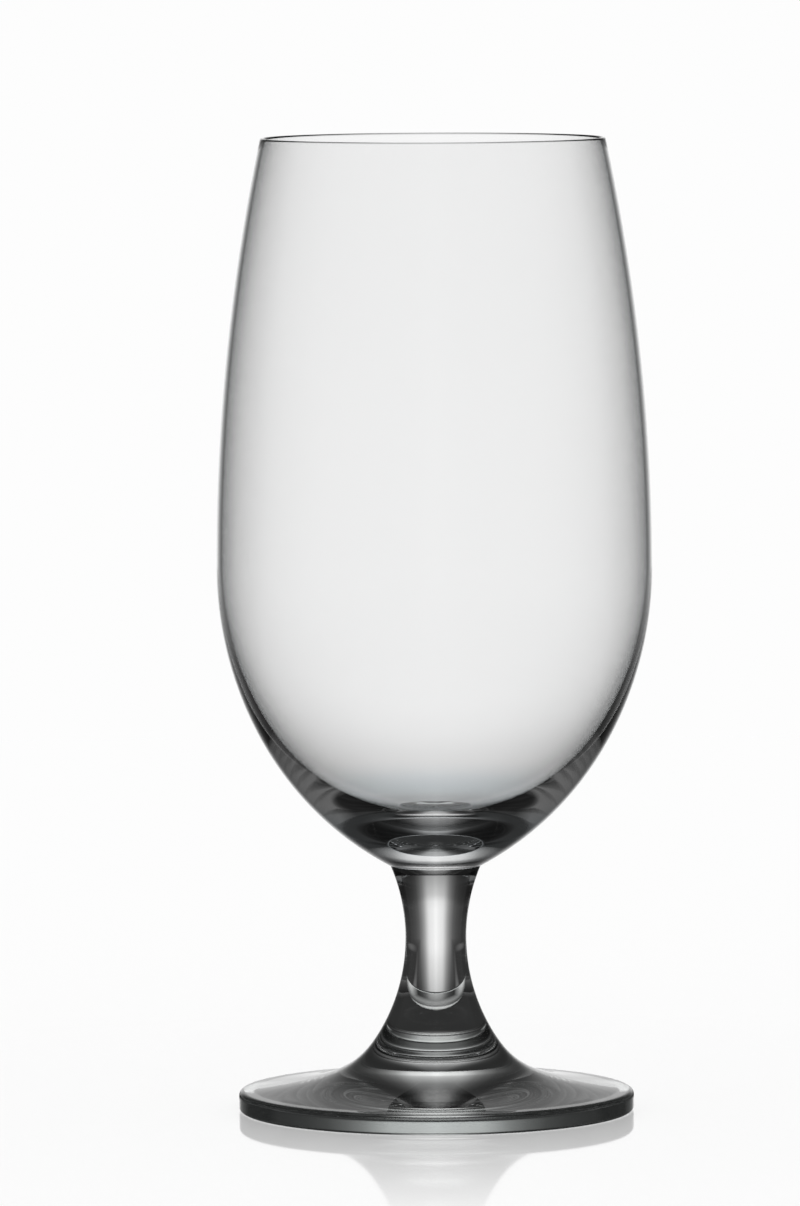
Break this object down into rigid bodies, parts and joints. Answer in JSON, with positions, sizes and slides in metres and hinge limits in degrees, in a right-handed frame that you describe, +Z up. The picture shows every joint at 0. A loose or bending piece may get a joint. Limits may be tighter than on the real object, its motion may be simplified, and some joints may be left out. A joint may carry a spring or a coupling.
{
  "type": "water glass",
  "caption": "Stemmed clear water glass: tall bowl drawn in towards a thin rim, solid dished base, short waisted stem and a round flat-bottomed foot with an upright edge.",
  "frame": {"origin": "centre of the foot's flat underside, on the surface that the glass stands on", "axes": "+Z up along the axis of the glass, towards the mouth; the glass is turned about Z, so X and Y are free"},
  "size_m": [0.075, 0.075, 0.168],
  "materials": {
    "clear_glass": "fire-polished, clear"
  },
  "bodies": {
    "root": {"bowl": "clear_glass", "stem": "clear_glass", "foot": "clear_glass"}
  },
  "joints": []
}
